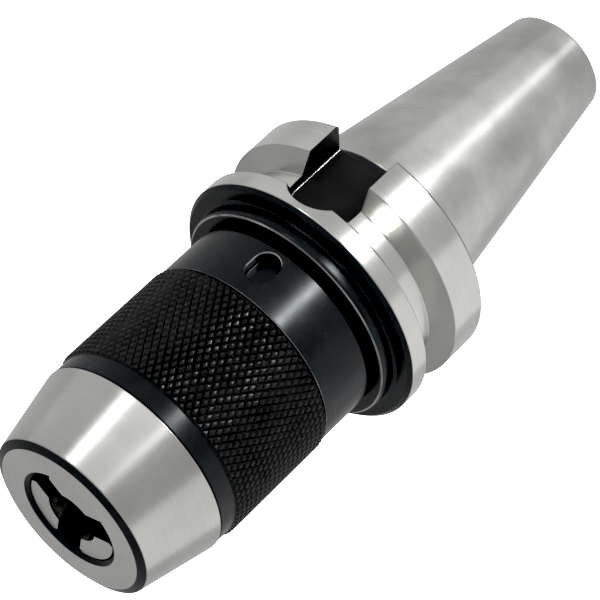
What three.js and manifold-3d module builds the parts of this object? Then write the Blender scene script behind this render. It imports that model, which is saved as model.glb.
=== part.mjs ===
// Keyless drill chuck with an integral No. 40 steep-taper shank, in millimetres.
// The axis is Z. The gauge plane of the 7:24 taper is z = 0, the taper points down
// and the jaws point up. One drive slot of the flange faces -Y.
import * as THREE from "three";
import { mergeVertices } from "three/addons/utils/BufferGeometryUtils.js";
import Module from "manifold-3d";

const wasm = await Module();
wasm.setup();

// ---- driving dimensions ----

// Shank: 7:24 taper No. 40 with an automatic tool changer flange.
const GAUGE_R = 22.225;
const TAPER_LENGTH = 65.4;
const TAPER_RATE = 7 / 24;
const SMALL_END_CHAMFER = 0.8;
const FLANGE_R = 31.5;
const FLANGE_REAR_Z = 2;
const FLANGE_FRONT_Z = 27;
const FLANGE_CHAMFER = 1;
const FLANGE_REAR_CHAMFER = 0.6;
const V_GROOVE = { centreZ: 16.6, topWidth: 10, rootWidth: 4.2, rootR: 26.5 };
const DRIVE_SLOT = { width: 16.1, floor: 22.6, endZ: 24.35 };
const PULL_STUD = { pilotR: 8.5, pilotDepth: 9, threadR: 7, depth: 40 };
const COLLAR = { r: 27.2, height: 4, round: 1, fillet: 0.6 };
const SPIGOT_R = 15.5;
const SPIGOT_TOP_Z = 58.1;
const SPIGOT_CHAMFER = 0.5;
const SPIGOT_BORE = { r: 11.8, floorZ: 29.6 };

// Fits between neighbouring pieces.
const GAP = 0.3;
const SLIDE_GAP = 0.35;
const STACK_GAP = 0.2;

// Small chamfer on the rims of turned pieces.
const EDGE_BREAK = 0.2;

// Turning sleeve: rear ring, knurled grip and ground nose.
const REAR_RING = { fromZ: 32.7, toZ: 46.4, r: 24.5, lipR: 17.8, cavityR: 20.4, chamfer: 0.5 };
const RING_SPIGOT = { r: 21.5, topZ: 55.6 };
const SPANNER_POCKET = { width: 6.1, length: 8.5, centreZ: 38.3, floorR: 21.6, turn: -3.2 };
const GRIP = { fromZ: 46.7, knurlTopZ: 75.1, topZ: 79.7, r: 25, bandR: 24.3, chamfer: 0.5 };
const NOSE = { rearZ: 80, rearR: 24.5, frontZ: 98.2, frontR: 20.5, faceZ: 99.2, faceR: 18.5 };
const NOSE_BORE = { r: 11.45, mouthR: 12.5, cavityR: 15.3, cavityTopZ: 90.1 };
const NOSE_SPIGOT = { r: 21.5, bottomZ: 70.6 };

// Jaws: three wedges that slide in inclined ways of the nose.
const JAW_COUNT = 3;
const JAW_TURN = 18.3;
const JAW_SLOPE = Math.tan(THREE.MathUtils.degToRad(18));
const JAW = { topZ: 98.3, bottomZ: 76.6, backR: 11.2, halfWidth: 6.9, sideOffset: 3.15 };
const JAW_TIP = { r: 4.6, halfWidth: 0.6, leadInR: 6.3, leadInDepth: 4 };
const LUG = { innerR: 9, outerR: 14.5, neckHalf: 2.2, footHalf: 4.2, footBottomZ: 69.2, footTopZ: 72.3 };

// Left-hand draw screw with its T-slotted head, and the bush it turns in.
const HEAD = { r: 14.8, bottomZ: 66.4, topZ: 76.1, chamfer: 0.5 };
const HEAD_SLOT_INNER_R = 4.1;
const SCREW = { r: 8, bottomZ: 38.6, chamfer: 1 };
const BUSH = { r: 11.5, bottomZ: 34.6, topZ: 58.1, chamfer: 0.6 };

// Thrust bearing between the rear ring and the lock nut.
const WASHER = { innerR: 15.9, outerR: 20.1, thickness: 1.5, lowerZ: 43.4, upperZ: 48.1 };
const BALL = { count: 12, r: 1.4, pitchR: 18, centreZ: 46.5 };
const CAGE = { innerR: 15.9, outerR: 20.05, height: 1.4, pocketR: 1.6, chamfer: 0.1 };
const LOCK_NUT = { innerR: 15.8, outerR: 19.8, bottomZ: 49.9, topZ: 54.9, chamfer: 0.4 };
const NUT_NOTCH = { count: 4, turn: 45, width: 3, depth: 1.5, height: 2 };
const GUIDE = { innerR: 15.8, outerR: 17.5, bottomZ: 33, topZ: 42.8 };
const SEAL = { innerR: 15.8, outerR: 20.5, bottomZ: 31.3, topZ: 32.4 };
const BUSH_SCREW = { r: 1.5, innerR: 12.1, outerR: 15.2, z: 38.3 };
const NUT_SCREW = { r: 1.3, innerR: 16.2, outerR: 19.5, z: 51.6 };

const FINE = 72;
const COARSE = 36;

// ---- finishes ----

const FINISH = {
  groundSteel: { color: 0x9d9b97, roughness: 0.3, metalness: 1 },
  blackOxide: { color: 0x15171a, roughness: 0.28, metalness: 0.8 },
  hardSteel: { color: 0x8c8d8f, roughness: 0.25, metalness: 1 },
  bronze: { color: 0xa9763c, roughness: 0.4, metalness: 1 },
  rubber: { color: 0x111111, roughness: 0.8, metalness: 0 },
};

// ---- solids ----

function solidOf(geometry) {
  const bare = geometry.clone();
  bare.deleteAttribute("normal");
  bare.deleteAttribute("uv");
  const merged = mergeVertices(bare, 1e-4);
  const index = merged.index.array;
  const corners = [];
  for (let i = 0; i < index.length; i += 3) {
    const [a, b, c] = [index[i], index[i + 1], index[i + 2]];
    if (a !== b && b !== c && c !== a) corners.push(a, b, c);
  }
  const mesh = new wasm.Mesh({
    numProp: 3,
    vertProperties: merged.attributes.position.array,
    triVerts: new Uint32Array(corners),
  });
  return new wasm.Manifold(mesh);
}

function geometryOf(solid) {
  const mesh = solid.getMesh();
  const geometry = new THREE.BufferGeometry();
  geometry.setAttribute("position", new THREE.BufferAttribute(mesh.vertProperties, 3));
  geometry.setIndex(new THREE.BufferAttribute(mesh.triVerts, 1));
  geometry.computeVertexNormals();
  return geometry;
}

// A body turned about Z from [r, z] points that start and end on the axis.
function turned(points, segments = FINE) {
  const profile = points.map(([r, z]) => new THREE.Vector2(r, z));
  return new THREE.LatheGeometry(profile, segments).rotateX(Math.PI / 2);
}

// A ring turned about Z from [r, z] points, listed anticlockwise, that close on themselves.
function ring(points, segments = FINE) {
  return turned([...points, points[0]], segments);
}

function tube(innerR, outerR, bottomZ, topZ, chamfer = EDGE_BREAK, segments = COARSE) {
  return ring(
    [
      [innerR, bottomZ],
      [outerR - chamfer, bottomZ],
      [outerR, bottomZ + chamfer],
      [outerR, topZ - chamfer],
      [outerR - chamfer, topZ],
      [innerR, topZ],
    ],
    segments,
  );
}

// Points of a quarter round between two directions, in degrees, about [r, z].
function arc(r, z, radius, fromDeg, toDeg, steps = 4) {
  const points = [];
  for (let i = 0; i <= steps; i++) {
    const a = THREE.MathUtils.degToRad(fromDeg + ((toDeg - fromDeg) * i) / steps);
    points.push([r + radius * Math.cos(a), z + radius * Math.sin(a)]);
  }
  return points;
}

// A box between two corners.
function block(low, high) {
  const size = high.map((v, i) => v - low[i]);
  const centre = high.map((v, i) => (v + low[i]) / 2);
  return new THREE.BoxGeometry(...size).translate(...centre);
}

// A round bar along X from one radius to another at height z.
function radialBar(r, fromX, toX, z, segments = 16) {
  const bar = new THREE.CylinderGeometry(r, r, toX - fromX, segments);
  return bar.rotateZ(Math.PI / 2).translate((fromX + toX) / 2, 0, z);
}

// Every copy of a geometry spaced evenly about Z.
function around(geometry, count, startDeg = 0) {
  return Array.from({ length: count }, (_, i) =>
    geometry.clone().rotateZ(THREE.MathUtils.degToRad(startDeg + (360 * i) / count)),
  );
}

function cut(geometry, tools) {
  return geometryOf(tools.reduce((left, tool) => left.subtract(solidOf(tool)), solidOf(geometry)));
}

// ---- shank ----

// The outline of a radial slot with a round upper end, pushed out along -Y from the floor.
function slotCutter(width, bottomZ, topZ, floor, roundBottom) {
  const half = width / 2;
  const outline = new THREE.Shape();
  outline.absarc(0, topZ - half, half, 0, Math.PI);
  if (roundBottom) outline.absarc(0, bottomZ + half, half, Math.PI, 2 * Math.PI);
  else outline.lineTo(-half, bottomZ).lineTo(half, bottomZ);
  outline.closePath();
  const depth = FLANGE_R + 3 - floor;
  const cutter = new THREE.ExtrudeGeometry(outline, { depth, bevelEnabled: false, curveSegments: 12 });
  return cutter.rotateX(Math.PI / 2).translate(0, -floor, 0);
}

function taperShank() {
  const smallR = GAUGE_R - (TAPER_LENGTH * TAPER_RATE) / 2;
  const topHalf = V_GROOVE.topWidth / 2;
  const rootHalf = V_GROOVE.rootWidth / 2;
  const collarTop = FLANGE_FRONT_Z + COLLAR.height;
  const boreFloor = -TAPER_LENGTH + PULL_STUD.depth;
  const blank = turned([
    [0, boreFloor],
    [PULL_STUD.threadR, boreFloor - PULL_STUD.threadR / 2],
    [PULL_STUD.threadR, -TAPER_LENGTH + PULL_STUD.pilotDepth],
    [PULL_STUD.pilotR, -TAPER_LENGTH + PULL_STUD.pilotDepth],
    [PULL_STUD.pilotR, -TAPER_LENGTH],
    [smallR - SMALL_END_CHAMFER, -TAPER_LENGTH],
    [smallR + SMALL_END_CHAMFER * 0.15, -TAPER_LENGTH + SMALL_END_CHAMFER],
    [GAUGE_R, 0],
    [GAUGE_R, FLANGE_REAR_Z],
    [FLANGE_R - FLANGE_REAR_CHAMFER, FLANGE_REAR_Z],
    [FLANGE_R, FLANGE_REAR_Z + FLANGE_REAR_CHAMFER],
    [FLANGE_R, V_GROOVE.centreZ - topHalf],
    [V_GROOVE.rootR, V_GROOVE.centreZ - rootHalf],
    [V_GROOVE.rootR, V_GROOVE.centreZ + rootHalf],
    [FLANGE_R, V_GROOVE.centreZ + topHalf],
    [FLANGE_R, FLANGE_FRONT_Z - FLANGE_CHAMFER],
    [FLANGE_R - FLANGE_CHAMFER, FLANGE_FRONT_Z],
    [COLLAR.r + COLLAR.fillet, FLANGE_FRONT_Z],
    [COLLAR.r, FLANGE_FRONT_Z + COLLAR.fillet],
    ...arc(COLLAR.r - COLLAR.round, collarTop - COLLAR.round, COLLAR.round, 0, 90, 3),
    [SPIGOT_R, collarTop],
    [SPIGOT_R, SPIGOT_TOP_Z - SPIGOT_CHAMFER],
    [SPIGOT_R - SPIGOT_CHAMFER, SPIGOT_TOP_Z],
    [SPIGOT_BORE.r, SPIGOT_TOP_Z],
    [SPIGOT_BORE.r, SPIGOT_BORE.floorZ],
    [0, SPIGOT_BORE.floorZ],
  ]);
  const slot = slotCutter(DRIVE_SLOT.width, 1, DRIVE_SLOT.endZ, DRIVE_SLOT.floor, false);
  const screwHole = radialBar(BUSH_SCREW.r + GAP, SPIGOT_BORE.r - 1, SPIGOT_R + 1, BUSH_SCREW.z);
  return cut(blank, [...around(slot, 2), screwHole]);
}

function spindleBush() {
  return tube(SCREW.r + GAP, BUSH.r, BUSH.bottomZ, BUSH.topZ, BUSH.chamfer);
}

function lockNut() {
  const blank = tube(LOCK_NUT.innerR, LOCK_NUT.outerR, LOCK_NUT.bottomZ, LOCK_NUT.topZ, LOCK_NUT.chamfer);
  const half = NUT_NOTCH.width / 2;
  const notch = block(
    [LOCK_NUT.outerR - NUT_NOTCH.depth, -half, LOCK_NUT.topZ - NUT_NOTCH.height],
    [LOCK_NUT.outerR + 1, half, LOCK_NUT.topZ + 1],
  );
  const hole = radialBar(NUT_SCREW.r + GAP, LOCK_NUT.innerR - 1, LOCK_NUT.outerR + 1, NUT_SCREW.z);
  return cut(blank, [...around(notch, NUT_NOTCH.count, NUT_NOTCH.turn), hole]);
}

function setScrew({ r, innerR, outerR, z }) {
  return radialBar(r, innerR, outerR, z);
}

// ---- thrust bearing ----

function washer(bottomZ) {
  return tube(WASHER.innerR, WASHER.outerR, bottomZ, bottomZ + WASHER.thickness);
}

function bearingCage() {
  const half = CAGE.height / 2;
  const blank = tube(CAGE.innerR, CAGE.outerR, BALL.centreZ - half, BALL.centreZ + half, CAGE.chamfer);
  const pocket = new THREE.CylinderGeometry(CAGE.pocketR, CAGE.pocketR, CAGE.height + 2, 12);
  pocket.rotateX(Math.PI / 2).translate(BALL.pitchR, 0, BALL.centreZ);
  return cut(blank, around(pocket, BALL.count));
}

// ---- turning sleeve ----

function rearSleeve() {
  const { fromZ, toZ, r, lipR, cavityR, chamfer } = REAR_RING;
  const blank = ring([
    [lipR, fromZ],
    [r - chamfer, fromZ],
    [r, fromZ + chamfer],
    [r, toZ - EDGE_BREAK],
    [r - EDGE_BREAK, toZ],
    [RING_SPIGOT.r, toZ],
    [RING_SPIGOT.r, RING_SPIGOT.topZ],
    [cavityR, RING_SPIGOT.topZ],
    [cavityR, WASHER.lowerZ - STACK_GAP],
    [lipR, WASHER.lowerZ - STACK_GAP],
  ]);
  const half = SPANNER_POCKET.length / 2;
  const low = SPANNER_POCKET.centreZ - half;
  const high = SPANNER_POCKET.centreZ + half;
  const pocket = slotCutter(SPANNER_POCKET.width, low, high, SPANNER_POCKET.floorR, true);
  return cut(blank, around(pocket, 2, SPANNER_POCKET.turn));
}

function gripSleeve() {
  const { fromZ, knurlTopZ, topZ, r, bandR, chamfer } = GRIP;
  const innerR = RING_SPIGOT.r + GAP;
  return ring([
    [innerR, fromZ],
    [r - chamfer, fromZ],
    [r, fromZ + chamfer],
    [r, knurlTopZ - chamfer],
    [r - chamfer, knurlTopZ],
    [bandR, knurlTopZ],
    [bandR, topZ],
    [innerR, topZ],
  ]);
}

// An upright cylinder sheared outwards towards its lower end, and no wider than a jaw.
function inclinedBack(backR, halfWidth, bottomZ, topZ) {
  const circle = new THREE.Shape().absarc(0, 0, backR, 0, 2 * Math.PI);
  const depth = topZ - bottomZ;
  const bar = new THREE.ExtrudeGeometry(circle, { depth, bevelEnabled: false, curveSegments: 56 });
  bar.translate(0, 0, bottomZ);
  const shear = new THREE.Matrix4().set(
    ...[1, 0, -JAW_SLOPE, JAW_SLOPE * JAW.topZ],
    ...[0, 1, 0, 0],
    ...[0, 0, 1, 0],
    ...[0, 0, 0, 1],
  );
  bar.applyMatrix4(shear);
  const reach = backR * 3;
  const slab = block([-reach, -halfWidth, bottomZ - 1], [reach, halfWidth, topZ + 1]);
  return solidOf(bar).intersect(solidOf(slab));
}

function noseCone() {
  const blank = ring([
    [NOSE_BORE.cavityR, NOSE_SPIGOT.bottomZ],
    [NOSE_SPIGOT.r, NOSE_SPIGOT.bottomZ],
    [NOSE_SPIGOT.r, NOSE.rearZ],
    [NOSE.rearR - EDGE_BREAK, NOSE.rearZ],
    [NOSE.rearR, NOSE.rearZ + EDGE_BREAK],
    [NOSE.frontR, NOSE.frontZ],
    [NOSE.faceR, NOSE.faceZ],
    [NOSE_BORE.mouthR, NOSE.faceZ],
    [NOSE_BORE.r, NOSE.faceZ + NOSE_BORE.r - NOSE_BORE.mouthR],
    [NOSE_BORE.r, NOSE_BORE.cavityTopZ],
    [NOSE_BORE.cavityR, NOSE_BORE.cavityTopZ],
  ]);
  const { backR, halfWidth, topZ } = JAW;
  const bottomZ = NOSE_SPIGOT.bottomZ - 1;
  const way = inclinedBack(backR + SLIDE_GAP, halfWidth + SLIDE_GAP, bottomZ, topZ + 1);
  return cut(blank, around(geometryOf(way), JAW_COUNT, JAW_TURN));
}

// ---- screw and jaws ----

function drawScrew() {
  const blank = turned([
    [0, SCREW.bottomZ],
    [SCREW.r - SCREW.chamfer, SCREW.bottomZ],
    [SCREW.r, SCREW.bottomZ + SCREW.chamfer],
    [SCREW.r, HEAD.bottomZ],
    [HEAD.r - HEAD.chamfer, HEAD.bottomZ],
    [HEAD.r, HEAD.bottomZ + HEAD.chamfer],
    [HEAD.r, HEAD.topZ - HEAD.chamfer],
    [HEAD.r - HEAD.chamfer, HEAD.topZ],
    [0, HEAD.topZ],
  ], COARSE);
  const neckHalf = LUG.neckHalf + GAP;
  const footHalf = LUG.footHalf + GAP;
  const neck = block([HEAD_SLOT_INNER_R, -neckHalf, LUG.footBottomZ], [HEAD.r + 2, neckHalf, HEAD.topZ + 1]);
  const foot = block(
    [HEAD_SLOT_INNER_R, -footHalf, LUG.footBottomZ - GAP],
    [HEAD.r + 2, footHalf, LUG.footTopZ + GAP],
  );
  return cut(blank, [...around(neck, JAW_COUNT, JAW_TURN), ...around(foot, JAW_COUNT, JAW_TURN)]);
}

// The plan of a jaw: a gripping land on the axis side and flanks parallel to the 120 degree split.
function jawPlan() {
  const sin60 = Math.sin(Math.PI / 3);
  const flankY = (x) => (x * sin60 - JAW.sideOffset) * 2;
  const cornerX = JAW_TIP.leadInR * Math.cos(Math.PI / 3 - Math.asin(JAW.sideOffset / JAW_TIP.leadInR));
  const farX = JAW.backR * 2;
  return new THREE.Shape([
    new THREE.Vector2(JAW_TIP.r, -JAW_TIP.halfWidth),
    new THREE.Vector2(cornerX, -flankY(cornerX)),
    new THREE.Vector2(farX, -flankY(farX)),
    new THREE.Vector2(farX, flankY(farX)),
    new THREE.Vector2(cornerX, flankY(cornerX)),
    new THREE.Vector2(JAW_TIP.r, JAW_TIP.halfWidth),
  ]);
}

function jaw() {
  const { topZ, bottomZ, backR, halfWidth } = JAW;
  const depth = topZ - bottomZ;
  const wedge = new THREE.ExtrudeGeometry(jawPlan(), { depth, bevelEnabled: false });
  const body = inclinedBack(backR, halfWidth, bottomZ, topZ);
  const leadIn = turned([
    [0, topZ - JAW_TIP.leadInDepth],
    [JAW_TIP.r, topZ - JAW_TIP.leadInDepth],
    [JAW_TIP.leadInR, topZ],
    [JAW_TIP.leadInR, topZ + 1],
    [0, topZ + 1],
  ]);
  const neck = block([LUG.innerR, -LUG.neckHalf, LUG.footTopZ - 1], [LUG.outerR, LUG.neckHalf, bottomZ + 1]);
  const foot = block(
    [LUG.innerR, -LUG.footHalf, LUG.footBottomZ],
    [LUG.outerR, LUG.footHalf, LUG.footTopZ],
  );
  const shaped = body.intersect(solidOf(wedge.translate(0, 0, bottomZ))).subtract(solidOf(leadIn));
  return geometryOf(shaped.add(solidOf(neck)).add(solidOf(foot)));
}

// ---- assembly ----

function piece(name, geometry, finish) {
  const mesh = new THREE.Mesh(geometry, new THREE.MeshStandardMaterial(finish));
  mesh.name = name;
  return mesh;
}

function shankGroup() {
  const group = new THREE.Group();
  group.add(
    piece("taper_shank", taperShank(), FINISH.groundSteel),
    piece("spindle_bush", spindleBush(), FINISH.bronze),
    piece("bush_screw", setScrew(BUSH_SCREW), FINISH.blackOxide),
    piece("dust_seal", tube(SEAL.innerR, SEAL.outerR, SEAL.bottomZ, SEAL.topZ), FINISH.rubber),
    piece("bearing_upper_washer", washer(WASHER.upperZ), FINISH.hardSteel),
    piece("bearing_lock_nut", lockNut(), FINISH.blackOxide),
    piece("lock_nut_screw", setScrew(NUT_SCREW), FINISH.blackOxide),
  );
  return group;
}

function bearingGroup() {
  const group = new THREE.Group();
  group.add(piece("bearing_cage", bearingCage(), FINISH.bronze));
  for (let i = 0; i < BALL.count; i++) {
    const angle = (2 * Math.PI * i) / BALL.count;
    const ball = piece(`bearing_ball_${i + 1}`, new THREE.SphereGeometry(BALL.r, 10, 6), FINISH.hardSteel);
    ball.position.set(BALL.pitchR * Math.cos(angle), BALL.pitchR * Math.sin(angle), BALL.centreZ);
    group.add(ball);
  }
  return group;
}

function sleeveGroup() {
  const tubeFrom = RING_SPIGOT.topZ + GAP;
  const tubeTo = NOSE_SPIGOT.bottomZ - GAP;
  const group = new THREE.Group();
  group.add(
    piece("rear_sleeve", rearSleeve(), FINISH.blackOxide),
    piece("guide_bush", tube(GUIDE.innerR, GUIDE.outerR, GUIDE.bottomZ, GUIDE.topZ), FINISH.bronze),
    piece("bearing_lower_washer", washer(WASHER.lowerZ), FINISH.hardSteel),
    piece("spacer_tube", tube(REAR_RING.cavityR + GAP, RING_SPIGOT.r, tubeFrom, tubeTo), FINISH.blackOxide),
    piece("grip_sleeve", gripSleeve(), FINISH.blackOxide),
    piece("nose_cone", noseCone(), FINISH.groundSteel),
  );
  return group;
}

function jawGroup() {
  const group = new THREE.Group();
  group.add(piece("draw_screw", drawScrew(), FINISH.hardSteel));
  for (let i = 0; i < JAW_COUNT; i++) {
    const mesh = piece(`jaw_${i + 1}`, jaw(), FINISH.groundSteel);
    mesh.rotation.z = THREE.MathUtils.degToRad(JAW_TURN + (360 * i) / JAW_COUNT);
    group.add(mesh);
  }
  return group;
}

const chuck = new THREE.Group();
chuck.add(shankGroup(), bearingGroup(), sleeveGroup(), jawGroup());

export default chuck;
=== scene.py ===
import logging
import math
import random
from abc import ABC, abstractmethod
from dataclasses import dataclass, field
from enum import Enum
from typing import Any, Callable, Optional, Sequence

import bmesh
import bpy
from mathutils import Matrix, Vector


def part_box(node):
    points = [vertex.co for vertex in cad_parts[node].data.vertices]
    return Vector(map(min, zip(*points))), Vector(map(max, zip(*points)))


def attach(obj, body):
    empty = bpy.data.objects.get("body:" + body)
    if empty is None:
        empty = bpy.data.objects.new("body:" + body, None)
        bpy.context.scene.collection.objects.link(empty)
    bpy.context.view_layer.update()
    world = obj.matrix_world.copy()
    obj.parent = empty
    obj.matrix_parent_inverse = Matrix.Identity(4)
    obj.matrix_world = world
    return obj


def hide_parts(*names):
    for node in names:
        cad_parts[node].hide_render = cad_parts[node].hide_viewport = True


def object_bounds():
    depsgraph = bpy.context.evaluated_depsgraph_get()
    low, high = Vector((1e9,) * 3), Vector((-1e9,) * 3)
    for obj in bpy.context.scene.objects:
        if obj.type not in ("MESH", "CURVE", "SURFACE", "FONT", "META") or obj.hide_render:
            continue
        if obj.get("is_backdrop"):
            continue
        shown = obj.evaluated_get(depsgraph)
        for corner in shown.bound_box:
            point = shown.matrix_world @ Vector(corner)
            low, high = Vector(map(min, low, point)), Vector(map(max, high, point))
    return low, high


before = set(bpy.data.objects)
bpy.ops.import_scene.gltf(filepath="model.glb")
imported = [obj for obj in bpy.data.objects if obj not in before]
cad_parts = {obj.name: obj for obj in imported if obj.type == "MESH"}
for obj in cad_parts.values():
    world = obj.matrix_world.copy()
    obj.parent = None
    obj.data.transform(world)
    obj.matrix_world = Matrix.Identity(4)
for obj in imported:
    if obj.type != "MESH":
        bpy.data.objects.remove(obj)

LOG = logging.getLogger("drill_chuck")

# Sizes in the classes below are in millimetres, and meshes are in metres.
MM = 0.001
# Steps round the axis for the outer pieces, the inner rings and the draw screw.
AROUND = 288
AROUND_SMALL = 192
AROUND_SCREW = 144
# How close two radii are to count as one, in millimetres.
NEAR = 0.001
# The share of a side that the round at one of its ends may take.
MOST_ROUNDED = 0.45
# Weighs smooth normals wholly by the faces' areas.
AREA_WEIGHT = 100
Point = tuple[float, float]
Colour = Sequence[float]
Socket = bpy.types.NodeSocket
Look = tuple[Socket, dict[str | int, Any]]


class Body(Enum):
    """The moving groups of the chuck, by the names of their bodies."""

    SHANK = "shank"
    SLEEVE = "sleeve"
    SCREW = "screw"
    BEARING = "bearing"


class Slot(Enum):
    """The record's material slots."""

    GROUND = "ground_steel"
    BLACK = "black_oxide"
    HARD = "hard_steel"
    BRONZE = "bronze"
    RUBBER = "seal_rubber"


class Hand(Enum):
    """Which way a thread climbs, as the sign of its turn."""

    LEFT = -1
    RIGHT = 1


@dataclass(frozen=True)
class Span:
    """An open range of values."""

    low: float
    high: float

    def holds(self, value: float) -> bool:
        """Return whether a value is inside the range."""
        return self.low < value < self.high


# ---- finishes


@dataclass
class Wiring:
    """A node tree, with the nodes and patterns that the finishes share."""

    tree: bpy.types.NodeTree
    middle: Point = (0.3, 0.7)
    mark_detail: float = 3.0

    def feed(self, node: bpy.types.Node, inputs: dict[str | int, Any]) -> bpy.types.Node:
        """Fill a node's inputs.

        Args:
            node: The node.
            inputs: A socket to link or a value to set, by the input's name or number.

        Returns:
            The node.
        """
        for key, given in inputs.items():
            if isinstance(given, bpy.types.NodeSocket):
                self.tree.links.new(given, node.inputs[key])
            else:
                node.inputs[key].default_value = given
        return node

    def add(self, kind: str, inputs: dict[str | int, Any], operation: str = "") -> bpy.types.Node:
        """Add a node.

        Args:
            kind: Its type, without the ShaderNode prefix.
            inputs: What feed() takes.
            operation: Its operation, for a node that has one.

        Returns:
            The node.
        """
        node = self.tree.nodes.new("ShaderNode" + kind)
        if operation:
            node.operation = operation
        return self.feed(node, inputs)

    def place(self) -> Socket:
        """Return the position in object space."""
        return self.add("TexCoord", {}).outputs["Object"]

    def ramp(self, tone: Socket, stops: Sequence[tuple[float, Colour]]) -> Socket:
        """Turn a grey value into a blend of colours.

        Args:
            tone: The grey value.
            stops: Grey value and colour of each stop, in order.

        Returns:
            The blended colour.
        """
        node = self.add("ValToRGB", {"Fac": tone})
        stop_list = node.color_ramp.elements
        while len(stop_list) < len(stops):
            stop_list.new(0.5)
        for stop, (position, colour) in zip(stop_list, stops):
            stop.position = position
            stop.color = (*colour, 1)
        return node.outputs["Color"]

    def ranged(self, tone: Socket, low: float, high: float) -> Socket:
        """Spread a grey value's middle part over another range.

        Args:
            tone: The grey value.
            low: Result at the middle part's start.
            high: Result at its end.

        Returns:
            The spread value.
        """
        start, end = self.middle
        limits = {"From Min": start, "From Max": end, "To Min": low, "To Max": high}
        return self.add("MapRange", {"Value": tone} | limits).outputs["Result"]

    def grain(self, scale: float, detail: float, where: Optional[Socket] = None) -> Socket:
        """Make even noise.

        Args:
            scale: Larger for finer noise.
            detail: Octaves of the noise.
            where: Position to read it at; object space if left out.

        Returns:
            The noise as a grey value about 0.5.
        """
        inputs = {"Vector": where or self.place(), "Scale": scale, "Detail": detail}
        return self.add("TexNoise", inputs).outputs["Fac"]

    def turning_marks(self, across: float, along: float) -> Socket:
        """Make streaks that run round the chuck's axis, on cylinders, cones and end faces alike.

        Args:
            across: Streaks per metre across their length.
            along: Changes per metre along their length.

        Returns:
            The streaks as a grey value about 0.5.
        """
        split = self.add("SeparateXYZ", {0: self.place()})
        flat = self.add("CombineXYZ", {axis: split.outputs[axis] for axis in "XY"})
        radius = self.add("VectorMath", {0: flat.outputs[0]}, "LENGTH").outputs["Value"]
        steep = self.add("CombineXYZ", {"X": radius, "Z": split.outputs["Z"]})
        sides = {}
        for i, (source, factor) in enumerate(((steep, across), (flat, along))):
            scaled = self.add("VectorMath", {0: source.outputs[0], "Scale": factor}, "SCALE")
            sides[i] = scaled.outputs[0]
        return self.grain(1.0, self.mark_detail, self.add("VectorMath", sides, "ADD").outputs[0])

    def bump(self, height: Socket, strength: float, depth: float) -> Socket:
        """Raise a surface.

        Args:
            height: The height as a grey value.
            strength: How much of the bump shows.
            depth: Height of the bump in metres.

        Returns:
            The bumped normal.
        """
        inputs = {"Height": height, "Strength": strength, "Distance": depth}
        return self.add("Bump", inputs).outputs["Normal"]


@dataclass(frozen=True)
class Finish(ABC):
    """A procedural finish whose colour and roughness follow one tone, a grey value."""

    name: str
    low: Colour = (0.42, 0.42, 0.43)
    high: Colour = (0.56, 0.56, 0.57)
    rough_low: float = 0.2
    rough_high: float = 0.32

    def material(self) -> bpy.types.Material:
        """Return this finish's material, made on first use.

        Returns:
            The node material that carries the finish.
        """
        found = bpy.data.materials.get(self.name)
        if found is not None:
            return found
        made = bpy.data.materials.new(self.name)
        made.use_nodes = True
        to = Wiring(made.node_tree)
        tone, inputs = self.look(to)
        inputs["Base Color"] = to.ramp(tone, ((to.middle[0], self.low), (to.middle[1], self.high)))
        low, high = self.rough_low, self.rough_high
        inputs["Roughness"] = low if low == high else to.ranged(tone, low, high)
        to.feed(made.node_tree.nodes["Principled BSDF"], inputs)
        return made

    @abstractmethod
    def look(self, to: Wiring) -> Look:
        """Wire what sets this finish apart.

        Args:
            to: The material's wiring.

        Returns:
            The finish's tone, and the shader's other inputs.
        """


@dataclass(frozen=True)
class GroundSteel(Finish):
    """Bright steel ground round its axis, with slow changes of tone."""

    low: Colour = (0.55, 0.545, 0.525)
    high: Colour = (0.68, 0.675, 0.65)
    rough_low: float = 0.165
    rough_high: float = 0.2
    marks_per_metre: float = 3400.0
    changes_per_metre: float = 14.0
    relief: float = 0.045
    depth: float = 0.00002
    blotch: float = 0.72
    cloud_scale: float = 60.0
    cloud_detail: float = 4.0

    def look(self, to: Wiring) -> Look:
        """Wire grinding marks blended with a cloud.

        Args:
            to: The material's wiring.

        Returns:
            The finish's tone, and the shader's other inputs.
        """
        marks = to.turning_marks(self.marks_per_metre, self.changes_per_metre)
        cloud = to.grain(self.cloud_scale, self.cloud_detail)
        tone = to.add("Mix", {"Factor": self.blotch, "A": marks, "B": cloud}).outputs["Result"]
        return tone, {"Metallic": 1.0, "Normal": to.bump(marks, self.relief, self.depth)}


@dataclass(frozen=True)
class BlackOxide(Finish):
    """Turned steel blackened and oiled."""

    low: Colour = (0.0022, 0.0025, 0.003)
    high: Colour = (0.0045, 0.0052, 0.0062)
    rough_low: float = 0.22
    rough_high: float = 0.3
    relief: float = 0.08
    gloss: float = 0.26
    tint: Colour = (0.92, 0.98, 1.0)
    marks_per_metre: float = 2200.0
    changes_per_metre: float = 60.0
    depth: float = 0.00001
    cloud_scale: float = 140.0
    cloud_detail: float = 4.0

    def look(self, to: Wiring) -> Look:
        """Wire faint turning marks under a dark oiled skin.

        Args:
            to: The material's wiring.

        Returns:
            The finish's tone, and the shader's other inputs.
        """
        marks = to.turning_marks(self.marks_per_metre, self.changes_per_metre)
        oil = {"Specular IOR Level": self.gloss, "Specular Tint": (*self.tint, 1)}
        oil["Normal"] = to.bump(marks, self.relief, self.depth)
        return to.grain(self.cloud_scale, self.cloud_detail), oil


@dataclass(frozen=True)
class TurnedMetal(Finish):
    """Bare turned metal of one colour, for the inner pieces."""

    marks_per_metre: float = 1500.0
    changes_per_metre: float = 90.0
    relief: float = 0.3
    depth: float = 0.00002

    def look(self, to: Wiring) -> Look:
        """Wire turning marks into tone and relief."""
        marks = to.turning_marks(self.marks_per_metre, self.changes_per_metre)
        return marks, {"Metallic": 1.0, "Normal": to.bump(marks, self.relief, self.depth)}


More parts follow.
